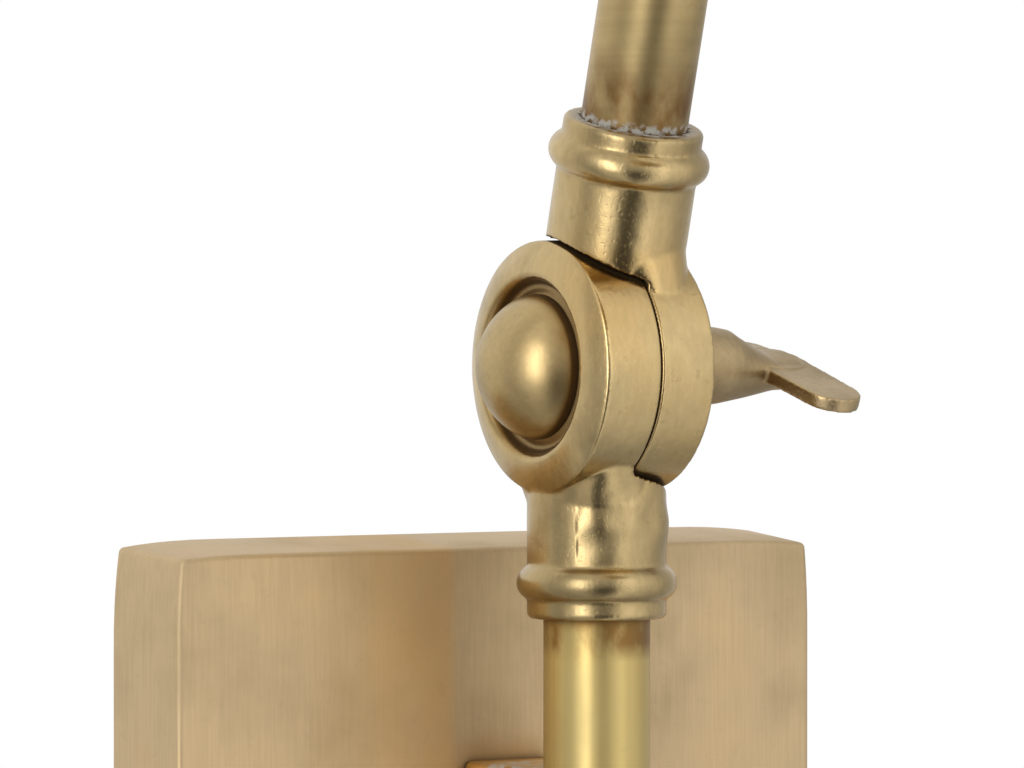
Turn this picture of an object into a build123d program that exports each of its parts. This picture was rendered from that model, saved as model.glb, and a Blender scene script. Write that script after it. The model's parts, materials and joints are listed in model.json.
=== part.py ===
from build123d import *

import math
import os

# Brass wall lamp with one tilting arm. Millimetres, +Z up.
# The origin is the centre of the plate's back face, on the wall, and the room is towards -Y.

# Wall plate and bracket
plate_width = 129.0
plate_height = 129.0
plate_depth = 20.0
plate_wall = 4.0
plate_corner = 2.0
plate_edge = 1.0
plate_spread = 2.0
bracket_width = 17.0
bracket_height = 56.0
wire_way = 8.0

# Mounting strap and its screws
strap_width = 20.0
strap_reach = plate_height / 2 - plate_wall - 1.5
strap_thickness = 2.0
strap_lip = 12.0
box_spacing = 88.9
box_hole = 2.3
grub_spacing = 10.0
grub_radius = 2.0
earth_radius = 1.9
earth_height = 28.0
earth_head = 4.2
grub_inset = 2.4
terminal_out = -34.0
terminal_depth = 10.0
terminal_pitch = 4.0
terminal_hole = 2.6
terminal_bore = 1.5

# Post and arm tubes
tube_radius = 9.0
tube_wall = 1.5
tube_bore = tube_radius - tube_wall
post_out = plate_depth + 28.5
post_bottom = -44.0
pivot_height = plate_height / 2 + 31.6
arm_length = 280.0
arm_lean = 15.5
head_angle = 62.0

# Knuckle castings: two discs face to face, each with a collar for its tube
disc_radius = 21.2
disc_thickness = 10.6
seam_shift = 0.9
seam_gap = 0.15
face_rise = 1.4
cap_seat_radius = 14.5
cap_seat_depth = 1.2
dome_radius = 12.2
dome_sphere = 12.8
dome_skirt = 1.2
stud_in_cap = 3.5
pocket_radius = 13.5
pocket_depth = 5.0
pivot_boss = 5.5
washer_radius = 8.5
washer_half = 0.5
collar_radius = 11.8
collar_top = 23.0
bead_start = 33.6
bead_end = 39.2
bead_radius = 13.6
collar_end = 42.4
socket_start = 30.5
mate_clearance = 0.7

# Fits
run_clearance = 0.05
stud_radius = 3.0
nipple_radius = 5.0
nipple_bore = 3.5
bush_end = 46.0
nut_end = 52.0

# Wing nuts
hub_radius = 7.0
hub_neck = 6.6
hub_end = 4.2
hub_length = 30.0
wing_thickness = 2.5
wing_root = 5.6
wing_tip = 5.2
wing_root_out = 26.6
wing_tip_out = 28.6
wing_reach = 14.6
wing_turns = (95.0, 263.0)

# Head
stem_end = 58.0
cup_radius = 18.5
cup_start = 54.0
cup_end = 72.0
shell_radius = 16.5
shell_end = 104.0
shade_top = 74.0
shade_mouth = 172.0
shade_radius = 82.0
shade_skin = 1.2
shade_collar = 24.0
rim_radius = 2.0
bulb_radius = 22.5
bulb_centre = 138.0
bulb_screw_radius = 13.0
bulb_tip_start = 83.0
bulb_base_start = 85.4
bulb_neck = 109.5
holder_floor = 80.0
holder_shoulder = 66.0
holder_wall = 1.2
key_height = 62.0
key_shaft = 1.5

os.makedirs("parts", exist_ok=True)


def side_plane(frame):
    """The plane through a frame's axis: local x across the joint, local y along the tube."""
    return Plane(origin=frame.origin, x_dir=frame.x_dir, z_dir=-frame.y_dir)


def long_axis(frame):
    return Axis(frame.origin, frame.z_dir)


def pivot_axis(frame):
    return Axis(frame.origin, frame.x_dir)


def pivot_plane(frame, distance):
    """A plane square to the pivot, a distance along it, with local y along the tube."""
    centre = frame.origin + frame.x_dir * distance
    return Plane(origin=centre, x_dir=frame.y_dir, z_dir=frame.x_dir)


def outline(plane, points):
    """A closed straight-sided profile on a plane."""
    with BuildSketch(plane) as profile:
        with BuildLine():
            Polyline(*points, close=True)
        make_face()
    return profile.sketch


def tube_along(frame, start, end, radius, bore):
    """A plain tube on a frame's long axis."""
    with BuildPart() as piece:
        with BuildSketch(frame.offset(start)):
            Circle(radius)
            Circle(bore, mode=Mode.SUBTRACT)
        extrude(amount=end - start)
    return piece


def knuckle_casting(frame, capped, socket_radius):
    """Half a knuckle: a disc on the positive x side of the seam, and a collar with a bead along +z."""
    seam = seam_shift if capped else -seam_shift
    back = seam + disc_thickness
    with BuildPart() as casting:
        with BuildSketch(frame.offset(11.0)):
            with Locations(((seam + back) / 2, 0)):
                RectangleRounded(disc_thickness - 0.4, 30.0, 4.0)
        with BuildSketch(frame.offset(25.0)):
            RectangleRounded(2 * collar_radius - 1.6, 2 * collar_radius - 1.6, collar_radius - 0.9)
        loft()
        with BuildSketch(side_plane(frame)):
            with BuildLine():
                Polyline((0, 15), (collar_radius, 15), (collar_radius, bead_start))
                bulge = (bead_radius, (bead_start + bead_end) / 2)
                ThreePointArc((collar_radius, bead_start), bulge, (collar_radius, bead_end))
                Polyline((collar_radius, bead_end), (collar_radius, collar_end - 0.6),
                         (collar_radius - 0.6, collar_end), (0, collar_end), (0, 15))
            make_face()
        revolve(axis=long_axis(frame))
        with BuildSketch(pivot_plane(frame, seam - 25)):
            Circle(disc_radius + mate_clearance)
        extrude(amount=25 + seam_gap, mode=Mode.SUBTRACT)
        with BuildSketch(side_plane(frame)):
            with BuildLine():
                Polyline((back, 0), (seam + seam_gap, 0), (seam + seam_gap, disc_radius - 0.3),
                         (seam + seam_gap + 0.3, disc_radius), (back, disc_radius))
                if capped:
                    ring = (back + face_rise, cap_seat_radius + 1.0)
                    ThreePointArc((back, disc_radius), (back + 1.0, disc_radius - 3.0), ring)
                    Polyline(ring, (back + face_rise, 0), (back, 0))
                else:
                    Line((back, disc_radius), (back, 0))
            make_face()
        revolve(axis=pivot_axis(frame))
        if capped:
            with BuildSketch(pivot_plane(frame, back + face_rise - cap_seat_depth)):
                Circle(cap_seat_radius)
            extrude(amount=2, mode=Mode.SUBTRACT)
        with BuildSketch(pivot_plane(frame, seam)):
            Circle(pocket_radius)
            Circle(pivot_boss, mode=Mode.SUBTRACT)
        extrude(amount=seam_gap + pocket_depth, mode=Mode.SUBTRACT)
        with BuildSketch(pivot_plane(frame, seam)):
            Circle(pivot_boss)
        extrude(amount=washer_half + run_clearance, mode=Mode.SUBTRACT)
        with BuildSketch(pivot_plane(frame, seam - 1)):
            Circle(stud_radius if capped else stud_radius + run_clearance)
        extrude(amount=disc_thickness + 3, mode=Mode.SUBTRACT)
        with BuildSketch(frame.offset(pocket_radius - 2.5)):
            with Locations((3.4, 0)):
                Circle(1.9)
        extrude(amount=14.0, mode=Mode.SUBTRACT)
        with BuildSketch(frame.offset(collar_top)):
            Circle(nipple_radius)
        extrude(amount=socket_start - collar_top + 1, mode=Mode.SUBTRACT)
        with BuildSketch(frame.offset(socket_start)):
            Circle(socket_radius)
        extrude(amount=collar_end - socket_start + 1, mode=Mode.SUBTRACT)
    return casting


def domed_turning(plane, axis, start, skirt, radius, sphere):
    """A short cylinder with a spherical end, turned about an axis that runs along the plane's x."""
    rise = math.degrees(math.asin(radius / sphere))
    centre = start + skirt - sphere * math.cos(math.radians(rise))
    with BuildPart() as dome:
        with BuildSketch(plane):
            with BuildLine():
                crown = CenterArc((centre, 0), sphere, 0, rise)
                Polyline(crown @ 1, (start, radius), (start, 0), crown @ 0)
            make_face()
        revolve(axis=axis)
    return dome.part


def dome_cap(frame):
    """The domed nut that closes a knuckle's plain side."""
    with BuildPart() as cap:
        add(domed_turning(side_plane(frame), pivot_axis(frame), cap_seat, dome_skirt,
                          dome_radius, dome_sphere))
        with BuildSketch(pivot_plane(frame, cap_seat)):
            Circle(stud_radius)
        extrude(amount=stud_in_cap, mode=Mode.SUBTRACT)
    return cap


def pivot_stud(frame):
    """The bolt through both discs, from inside the cap to inside the wing nut."""
    with BuildPart() as stud:
        with BuildSketch(pivot_plane(frame, cap_seat + stud_in_cap)):
            Circle(stud_radius)
        extrude(amount=-(cap_seat + stud_in_cap + nut_seat + hub_length - 2))
    return stud


def wing_nut(frame):
    """A cast nut on the far disc, with two flat wings that lie square to the pivot."""
    with BuildPart() as nut:
        hub = [(nut_seat, 0), (nut_seat, hub_radius), (nut_seat + 10.0, hub_radius),
               (nut_seat + 14.0, hub_neck), (nut_seat + 20.0, (hub_neck + hub_end) / 2 + 0.2),
               (nut_seat + 26.0, hub_end + 0.2), (nut_seat + hub_length, hub_end),
               (nut_seat + hub_length, 0)]
        revolve(outline(side_plane(frame), hub), axis=pivot_axis(frame))
        for turn in wing_turns:
            wing = frame.rotated((turn, 0, 0))
            with BuildSketch(side_plane(wing)):
                with Locations((nut_seat + wing_root_out, 0)):
                    Circle(wing_root)
                with Locations((nut_seat + wing_tip_out, wing_reach)):
                    Circle(wing_tip)
                make_hull()
            extrude(amount=wing_thickness / 2, both=True)
        with BuildSketch(pivot_plane(frame, nut_seat - 1)):
            Circle(stud_radius + run_clearance)
        extrude(amount=hub_length + 1, mode=Mode.SUBTRACT)
    return nut


def friction_washer(frame, seam):
    """The fibre washer round the stud, let into both pivot bosses."""
    with BuildPart() as washer:
        with BuildSketch(pivot_plane(frame, seam - washer_half)):
            Circle(washer_radius)
            Circle(stud_radius + 0.1, mode=Mode.SUBTRACT)
        extrude(amount=2 * washer_half)
    return washer


# Places along the pivot: the cap's seat on one side and the nut's on the other
cap_seat = seam_shift + disc_thickness + face_rise - cap_seat_depth
nut_seat = disc_thickness - seam_shift + 0.1

# Frames: each knuckle half has local x along the pivot and local z along its tube
lean = math.radians(arm_lean)
droop = math.radians(head_angle)
arm_direction = Vector(0, -math.sin(lean), math.cos(lean))
head_direction = Vector(0, -math.sin(droop), -math.cos(droop))
pivot_point = Vector(0, -post_out, pivot_height)
head_point = pivot_point + arm_direction * arm_length
post_frame = Plane(origin=pivot_point, x_dir=(-1, 0, 0), z_dir=(0, 0, -1))
arm_frame = Plane(origin=pivot_point, x_dir=(1, 0, 0), z_dir=arm_direction)
arm_end_frame = Plane(origin=head_point, x_dir=(-1, 0, 0), z_dir=-arm_direction)
head_frame = Plane(origin=head_point, x_dir=(1, 0, 0), z_dir=head_direction)
wall_frame = Plane(origin=(0, 0, 0), x_dir=(1, 0, 0), z_dir=(0, -1, 0))
post_end = pivot_height - post_bottom
terminal_y = plate_wall - plate_depth + terminal_depth / 2

# Wall plate: a thick cast rectangle, hollow behind, its corners falling away a little
with BuildPart() as wall_plate:
    with BuildSketch(wall_frame):
        RectangleRounded(plate_width + 2 * plate_spread, plate_height + 2 * plate_spread, plate_corner)
    with BuildSketch(wall_frame.offset(plate_depth)):
        RectangleRounded(plate_width, plate_height, plate_corner)
    loft()
    fillet(wall_plate.faces().sort_by(Axis.Y)[0].edges(), plate_edge)
    with BuildSketch(wall_frame):
        RectangleRounded(plate_width - 2 * plate_wall, plate_height - 2 * plate_wall, plate_corner)
    extrude(amount=plate_depth - plate_wall, mode=Mode.SUBTRACT)
    with BuildSketch(wall_frame.offset(plate_depth - plate_wall - 1)):
        Circle(wire_way / 2)
    extrude(amount=plate_wall + 2, mode=Mode.SUBTRACT)
    with BuildSketch(Plane.XY.offset(-plate_height / 2 - plate_spread - 1)):
        with Locations((-grub_spacing / 2, -strap_lip / 2), (grub_spacing / 2, -strap_lip / 2)):
            Circle(grub_radius)
    extrude(amount=plate_wall + plate_spread + 2, mode=Mode.SUBTRACT)

# Mounting strap: screwed to the wall box, with a lip at each end inside the plate
with BuildPart() as mounting_strap:
    with BuildSketch(Plane.YZ.offset(-strap_width / 2)):
        with BuildLine():
            Polyline((0, -strap_reach), (-strap_lip, -strap_reach),
                     (-strap_lip, -strap_reach + strap_thickness),
                     (-strap_thickness, -strap_reach + strap_thickness),
                     (-strap_thickness, strap_reach - strap_thickness),
                     (-strap_lip, strap_reach - strap_thickness), (-strap_lip, strap_reach),
                     (0, strap_reach), close=True)
        make_face()
    extrude(amount=strap_width)
    with BuildSketch(wall_frame):
        with Locations((0, box_spacing / 2), (0, -box_spacing / 2)):
            Circle(box_hole)
        Circle(wire_way)
        with Locations((0, earth_height)):
            Circle(earth_radius)
    extrude(amount=strap_thickness, mode=Mode.SUBTRACT)

with BuildPart() as strap_grub_screws:
    with BuildSketch(Plane.XY.offset(-plate_height / 2 - plate_spread + grub_inset)):
        with Locations((-grub_spacing / 2, -strap_lip / 2), (grub_spacing / 2, -strap_lip / 2)):
            Circle(grub_radius)
    extrude(amount=plate_height / 2 + plate_spread - grub_inset - strap_reach)
    with BuildSketch(Plane.XY.offset(-plate_height / 2 - plate_spread + grub_inset)):
        with Locations((-grub_spacing / 2, -strap_lip / 2), (grub_spacing / 2, -strap_lip / 2)):
            RegularPolygon(1.1, 6)
    extrude(amount=1.6, mode=Mode.SUBTRACT)

with BuildPart() as earth_screw:
    with BuildSketch(wall_frame):
        with Locations((0, earth_height)):
            Circle(earth_radius)
    extrude(amount=strap_thickness + 1.0)
    with BuildSketch(wall_frame.offset(strap_thickness)):
        with Locations((0, earth_height)):
            RegularPolygon(earth_head, 6)
    extrude(amount=3.0)
    with BuildSketch(wall_frame.offset(strap_thickness + 2.0)):
        with Locations((0, earth_height)):
            Rectangle(1.0, 6.4)
    extrude(amount=2.0, mode=Mode.SUBTRACT)

# Terminal block: two brass clamps in an insulating body, on the back of the plate's front
with BuildPart() as terminal_block:
    with BuildSketch(wall_frame.offset(plate_depth - plate_wall - terminal_depth)):
        with Locations((terminal_out, 0)):
            RectangleRounded(22, 16, 1.5)
    extrude(amount=terminal_depth)
    with BuildSketch(Plane.YZ.offset(terminal_out - 12)):
        with Locations((terminal_y, terminal_pitch), (terminal_y, -terminal_pitch)):
            Circle(terminal_hole)
    extrude(amount=24, mode=Mode.SUBTRACT)

with BuildPart() as terminal_clamps:
    with BuildSketch(Plane.YZ.offset(terminal_out - 9)):
        with Locations((terminal_y, terminal_pitch), (terminal_y, -terminal_pitch)):
            Circle(terminal_hole)
            Circle(terminal_bore, mode=Mode.SUBTRACT)
    extrude(amount=18)

# Bracket: a flat bar from the plate, coped to the post's curve
with BuildPart() as bracket_bar:
    with BuildSketch(wall_frame.offset(plate_depth)):
        Rectangle(bracket_width, bracket_height)
    extrude(amount=post_out - plate_depth)
    fillet(bracket_bar.edges().filter_by(Axis.Y), 0.8)
    with BuildSketch(Plane.XY.offset(-bracket_height)):
        with Locations((0, -post_out)):
            Circle(tube_radius)
    extrude(amount=2 * bracket_height, mode=Mode.SUBTRACT)
    with BuildSketch(wall_frame.offset(plate_depth - 1)):
        Circle(wire_way / 2)
    extrude(amount=post_out - plate_depth, mode=Mode.SUBTRACT)

# Bush that keeps the wires off the edge where they enter the bracket
with BuildPart() as wire_bush:
    with BuildSketch(wall_frame.offset(plate_depth - plate_wall - 1.5)):
        Circle(wire_way / 2 + 2.5)
        Circle(wire_way / 2 - 1.2, mode=Mode.SUBTRACT)
    extrude(amount=1.5)
    with BuildSketch(wall_frame.offset(plate_depth - plate_wall)):
        Circle(wire_way / 2)
        Circle(wire_way / 2 - 1.2, mode=Mode.SUBTRACT)
    extrude(amount=6.0)

with BuildPart() as post_tube:
    with BuildSketch(post_frame.offset(socket_start + 0.1)):
        Circle(tube_radius)
        Circle(tube_bore, mode=Mode.SUBTRACT)
    extrude(amount=post_end - socket_start - 0.1)
    with BuildSketch(Plane.XZ.offset(post_out - tube_radius - 1)):
        Circle(wire_way / 2)
    extrude(amount=tube_wall + 3, mode=Mode.SUBTRACT)

# Bush in the top of the post, in which the swivel nipple turns
post_bush = tube_along(post_frame, socket_start + 0.1, bush_end, tube_bore, nipple_radius + run_clearance)

with BuildPart() as post_end_cap:
    with BuildSketch(post_frame.offset(post_end)):
        Circle(tube_bore)
    extrude(amount=-6)
    foot_plane = Plane(origin=pivot_point, x_dir=(0, 0, -1), z_dir=(0, 1, 0))
    add(domed_turning(foot_plane, long_axis(post_frame), post_end, 2.4, tube_radius + 1.2, 12.0))

# Swivel: the lower casting and a hollow nipple that turns in the post's bush
lower_knuckle = knuckle_casting(post_frame, True, tube_radius + run_clearance)
swivel_nipple = tube_along(post_frame, collar_top + 1, nut_end + 1.5, nipple_radius, nipple_bore)
swivel_washer = tube_along(post_frame, bush_end + 0.1, bush_end + 1.1, tube_bore - 0.6, nipple_radius + 0.1)
with BuildPart() as swivel_nut:
    with BuildSketch(post_frame.offset(bush_end + 1.2)):
        Circle(tube_bore - 0.8)
        Circle(nipple_radius, mode=Mode.SUBTRACT)
    extrude(amount=nut_end - bush_end - 1.2)
    with BuildSketch(post_frame.offset(nut_end - 1.5)):
        Rectangle(20, 2)
    extrude(amount=2, mode=Mode.SUBTRACT)
lower_cap = dome_cap(post_frame)
lower_stud = pivot_stud(post_frame)

# Arm: a casting at each end of a long tube
arm_knuckle = knuckle_casting(arm_frame, False, tube_radius)
arm_tube = tube_along(arm_frame, socket_start, arm_length - socket_start, tube_radius, tube_bore)
arm_end_knuckle = knuckle_casting(arm_end_frame, True, tube_radius)
arm_washer = friction_washer(arm_frame, -seam_shift)
end_washer = friction_washer(arm_end_frame, seam_shift)
end_cap = dome_cap(arm_end_frame)
end_stud = pivot_stud(arm_end_frame)
wing_nut_lower = wing_nut(arm_frame)
wing_nut_upper = wing_nut(head_frame)

# Head: a casting, a short stem, and a cup that holds the lampholder and the shade
head_knuckle = knuckle_casting(head_frame, False, tube_radius)
head_stem = tube_along(head_frame, socket_start, stem_end, tube_radius, tube_bore)

with BuildPart() as socket_cup:
    with BuildSketch(side_plane(head_frame)):
        with BuildLine():
            Polyline((tube_radius, cup_start), (tube_radius + 2, cup_start))
            ThreePointArc((tube_radius + 2, cup_start), (cup_radius - 2.2, cup_start + 2.6),
                          (cup_radius, cup_start + 8))
            Polyline((cup_radius, cup_start + 8), (cup_radius, cup_end), (cup_radius - 1.2, cup_end),
                     (cup_radius - 1.2, cup_start + 8))
            ThreePointArc((cup_radius - 1.2, cup_start + 8), (cup_radius - 3.6, cup_start + 3.8),
                          (tube_radius + 1.5, cup_start + 1.4))
            Polyline((tube_radius + 1.5, cup_start + 1.4), (tube_radius, cup_start + 1.4),
                     (tube_radius, cup_start))
        make_face()
    revolve(axis=long_axis(head_frame))
    with BuildSketch(pivot_plane(head_frame.offset(key_height), cup_radius - 3)):
        Circle(key_shaft + run_clearance)
    extrude(amount=6, mode=Mode.SUBTRACT)

# Lampholder: insulating shell with a shoulder, threaded sleeve and centre contact inside
with BuildPart() as lampholder_shell:
    holder = [(0, stem_end), (cup_radius - 3.8, stem_end), (cup_radius - 3.8, holder_shoulder),
              (shell_radius, holder_shoulder), (shell_radius, shell_end),
              (bulb_screw_radius + holder_wall, shell_end), (bulb_screw_radius + holder_wall, holder_floor),
              (0, holder_floor)]
    revolve(outline(side_plane(head_frame), holder), axis=long_axis(head_frame))
    with BuildSketch(pivot_plane(head_frame.offset(key_height), 4.0)):
        Circle(key_shaft + 0.3)
    extrude(amount=20, mode=Mode.SUBTRACT)

contact_sleeve = tube_along(head_frame, holder_floor + 2, shell_end - 3,
                            bulb_screw_radius + 1.0, bulb_screw_radius + 0.3)

with BuildPart() as centre_contact:
    tongue = [(0, holder_floor), (5, holder_floor), (5, holder_floor + 0.8), (2.4, holder_floor + 0.8),
              (2.0, bulb_tip_start - 0.4), (0, bulb_tip_start - 0.1)]
    revolve(outline(side_plane(head_frame), tongue), axis=long_axis(head_frame))

with BuildPart() as bulb_base:
    with BuildSketch(side_plane(head_frame)):
        with BuildLine():
            Polyline((0, bulb_base_start), (6.0, bulb_base_start),
                     (bulb_screw_radius - 1.6, bulb_base_start + 2.6),
                     (bulb_screw_radius - 0.6, bulb_base_start + 4.6),
                     (bulb_screw_radius - 0.6, bulb_neck), (0, bulb_neck), (0, bulb_base_start))
        make_face()
    revolve(axis=long_axis(head_frame))

with BuildPart() as bulb_tip:
    point = [(0, bulb_tip_start), (2.6, bulb_tip_start), (3.6, bulb_tip_start + 1.2),
             (3.6, bulb_base_start), (0, bulb_base_start)]
    revolve(outline(side_plane(head_frame), point), axis=long_axis(head_frame))

with BuildPart() as bulb_glass:
    with BuildSketch(side_plane(head_frame)):
        with BuildLine():
            globe = CenterArc((0, bulb_centre), bulb_radius, -46, 136)
            Line((0, bulb_neck), (bulb_screw_radius - 1.0, bulb_neck))
            ThreePointArc((bulb_screw_radius - 1.0, bulb_neck), (bulb_screw_radius - 0.4, 116.0), globe @ 0)
            Line(globe @ 1, (0, bulb_neck))
        make_face()
    revolve(axis=long_axis(head_frame))

# Shade: a spun brass bell with a rolled rim, clamped on the lampholder by a threaded ring
with BuildPart() as shade:
    with BuildSketch(side_plane(head_frame)):
        with BuildLine():
            Line((shell_radius + 0.1, shade_top), (shade_collar, shade_top))
            ThreePointArc((shade_collar, shade_top), (55, 98), (shade_radius, shade_mouth))
            Line((shade_radius, shade_mouth), (shade_radius - shade_skin, shade_mouth))
            ThreePointArc((shade_radius - shade_skin, shade_mouth), (54.2, 99.0),
                          (shade_collar, shade_top + shade_skin))
            Polyline((shade_collar, shade_top + shade_skin), (shell_radius + 0.1, shade_top + shade_skin),
                     (shell_radius + 0.1, shade_top))
        make_face()
    revolve(axis=long_axis(head_frame))

with BuildPart() as shade_rim:
    with BuildSketch(side_plane(head_frame)):
        with Locations((shade_radius - shade_skin / 2, shade_mouth + rim_radius)):
            Circle(rim_radius)
    revolve(axis=long_axis(head_frame))

shade_ring = tube_along(head_frame, shade_top + shade_skin, shade_top + 8, shell_radius + 3.5, shell_radius)

# Switch key: a flat thumb key on a shaft through the cup
key_plane = head_frame.offset(key_height)
with BuildPart() as switch_key:
    with BuildSketch(pivot_plane(key_plane, 8.0)):
        Circle(key_shaft)
    extrude(amount=cup_radius + 1.6)
    with BuildSketch(side_plane(key_plane)):
        with Locations((cup_radius + 14.0, 0)):
            SlotCenterToCenter(9.0, 9.0, rotation=90)
    extrude(amount=1.3, both=True)

pieces = {
    "wall_plate": wall_plate,
    "mounting_strap": mounting_strap,
    "strap_grub_screws": strap_grub_screws,
    "earth_screw": earth_screw,
    "terminal_block": terminal_block,
    "terminal_clamps": terminal_clamps,
    "bracket_bar": bracket_bar,
    "wire_bush": wire_bush,
    "post_tube": post_tube,
    "post_bush": post_bush,
    "post_end_cap": post_end_cap,
    "lower_knuckle": lower_knuckle,
    "swivel_nipple": swivel_nipple,
    "swivel_washer": swivel_washer,
    "swivel_nut": swivel_nut,
    "lower_cap": lower_cap,
    "lower_stud": lower_stud,
    "arm_knuckle": arm_knuckle,
    "arm_tube": arm_tube,
    "arm_end_knuckle": arm_end_knuckle,
    "arm_washer": arm_washer,
    "end_washer": end_washer,
    "end_cap": end_cap,
    "end_stud": end_stud,
    "wing_nut_lower": wing_nut_lower,
    "wing_nut_upper": wing_nut_upper,
    "head_knuckle": head_knuckle,
    "head_stem": head_stem,
    "socket_cup": socket_cup,
    "lampholder_shell": lampholder_shell,
    "contact_sleeve": contact_sleeve,
    "centre_contact": centre_contact,
    "bulb_base": bulb_base,
    "bulb_tip": bulb_tip,
    "bulb_glass": bulb_glass,
    "shade": shade,
    "shade_rim": shade_rim,
    "shade_ring": shade_ring,
    "switch_key": switch_key,
}
for name, piece in pieces.items():
    piece.part.label = name
    export_step(piece.part, f"parts/{name}.step")
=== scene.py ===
"""Brass wall lamp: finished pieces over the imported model, with a stage and a camera.

The file is laid out as an add-on and run as a script.
"""

import json
import math

import bmesh
import bpy
from mathutils import Matrix, Vector, noise


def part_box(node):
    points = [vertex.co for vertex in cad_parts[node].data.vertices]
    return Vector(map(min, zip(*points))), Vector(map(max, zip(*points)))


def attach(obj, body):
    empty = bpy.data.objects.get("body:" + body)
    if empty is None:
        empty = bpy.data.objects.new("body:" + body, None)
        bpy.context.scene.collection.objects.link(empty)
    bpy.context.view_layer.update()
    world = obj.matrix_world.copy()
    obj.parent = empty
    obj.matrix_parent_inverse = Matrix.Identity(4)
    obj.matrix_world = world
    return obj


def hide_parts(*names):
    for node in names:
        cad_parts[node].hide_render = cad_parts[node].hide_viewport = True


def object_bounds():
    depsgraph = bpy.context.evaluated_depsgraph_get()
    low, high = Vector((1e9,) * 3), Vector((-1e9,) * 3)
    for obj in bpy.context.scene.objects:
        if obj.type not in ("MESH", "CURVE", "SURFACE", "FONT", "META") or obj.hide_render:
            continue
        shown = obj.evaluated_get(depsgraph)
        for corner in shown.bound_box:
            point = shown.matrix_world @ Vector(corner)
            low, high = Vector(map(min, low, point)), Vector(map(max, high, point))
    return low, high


bl_info = {
    "name": "Brass Wall Lamp",
    "version": (1, 0, 0),
    "blender": (4, 5, 0),
    "location": "View3D > Sidebar > Wall Lamp",
    "description": "Builds the finished pieces of a jointed brass wall lamp",
    "category": "Object",
}

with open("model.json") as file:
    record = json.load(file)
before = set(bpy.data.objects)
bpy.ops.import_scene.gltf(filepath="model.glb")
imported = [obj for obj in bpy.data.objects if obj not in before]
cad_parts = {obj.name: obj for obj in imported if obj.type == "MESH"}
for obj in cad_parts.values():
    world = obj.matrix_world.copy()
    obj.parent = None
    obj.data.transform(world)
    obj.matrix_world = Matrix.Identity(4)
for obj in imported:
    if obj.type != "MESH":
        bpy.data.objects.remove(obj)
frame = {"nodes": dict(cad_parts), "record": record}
cad_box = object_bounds()

MM = 0.001
JOINTS = {joint["name"]: joint for joint in frame["record"]["behaviour"]["joints"]}
PIVOT = Vector(JOINTS["arm_tilt"]["pos_m"])
HEAD = Vector(JOINTS["head_tilt"]["pos_m"])
KEY = Vector(JOINTS["switch_turn"]["pos_m"])
ARM_LENGTH = (HEAD - PIVOT).length
UP = Vector((0, 0, 1))


def local_frame(origin, x_dir, z_dir):
    """A frame with its own x across the joint and z along the tube."""
    x_axis = Vector(x_dir).normalized()
    z_axis = Vector(z_dir).normalized()
    turn = Matrix((x_axis, z_axis.cross(x_axis), z_axis)).transposed()
    return Matrix.Translation(origin) @ turn.to_4x4()


POST_FRAME = local_frame(PIVOT, (-1, 0, 0), -UP)
ARM_FRAME = local_frame(PIVOT, (1, 0, 0), HEAD - PIVOT)
ARM_END_FRAME = local_frame(HEAD, (-1, 0, 0), PIVOT - HEAD)
HEAD_FRAME = local_frame(HEAD, (1, 0, 0), KEY - HEAD)
ABOUT_PIVOT = Matrix.Rotation(math.radians(90), 4, "Y")

# Sizes in millimetres. A start, an end or a lip is a distance from a pivot.
TUBE_RADIUS = 9.0
TUBE_BORE = 7.5
TUBE_START = 30.5
STEM_END = 58.0
COLLAR_LIP = 42.4
DISC_RADIUS = 21.17
HALF_GAP = 0.9

# How round pieces are divided and where their shading breaks.
CIRCLE_STEPS = 128
SHADE_STEPS = 192
STUD_STEPS = 48
CREASE_ANGLE = math.radians(35)


# ---------------------------------------------------------------- settings

def length(name, default, description):
    """A length a user can change, in metres."""
    return bpy.props.FloatProperty(name=name, description=description, default=default, unit="LENGTH",
                                   precision=5)


def colour(name, default, description):
    """A colour a user can change."""
    return bpy.props.FloatVectorProperty(name=name, description=description, default=default, subtype="COLOR",
                                         size=3, min=0, max=1)


def factor(name, default, description):
    """A number from 0 to 1 a user can change."""
    return bpy.props.FloatProperty(name=name, description=description, default=default, subtype="FACTOR",
                                   min=0, max=1)


class WallLampShape(bpy.types.PropertyGroup):
    """Sizes that finish the cast and turned pieces."""
    casting_grid: length("Casting grid", 0.34 * MM, "Size of the faces of a cast piece")
    casting_lumps: length("Casting lumps", 0.04 * MM, "Height of the unevenness left by the mould")
    plate_edge: length("Plate edge", 0.9 * MM, "Radius on the plate's front edges")
    plate_droop: length("Plate droop", 0.7 * MM, "How far the plate's corners fall away")
    tube_edge: length("Tube edge", 0.3 * MM, "Radius on a tube's ends")


class WallLampFinish(bpy.types.PropertyGroup):
    """Colours and gloss of the brass finishes."""
    plate_bright: colour("Plate", (0.64, 0.48, 0.275), "Satin brass of the wall plate")
    cast_bright: colour("Castings", (0.60, 0.45, 0.22), "Aged brass of the knuckles")
    tube_bright: colour("Tubes", (0.60, 0.46, 0.18), "Polished brass of the tubes")
    # The corner colour below is laid on by ambient occlusion: partly real dirt, partly painted shade.
    grime_and_shade_colour: colour("Grime and shade", (0.13, 0.085, 0.042), "Dark patina and painted shade in the corners")
    plate_roughness: factor("Plate roughness", 0.50, "Roughness of the satin plate")
    cast_roughness: factor("Casting roughness", 0.22, "Roughness of the castings")
    tube_roughness: factor("Tube roughness", 0.36, "Roughness of the tubes")


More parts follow.
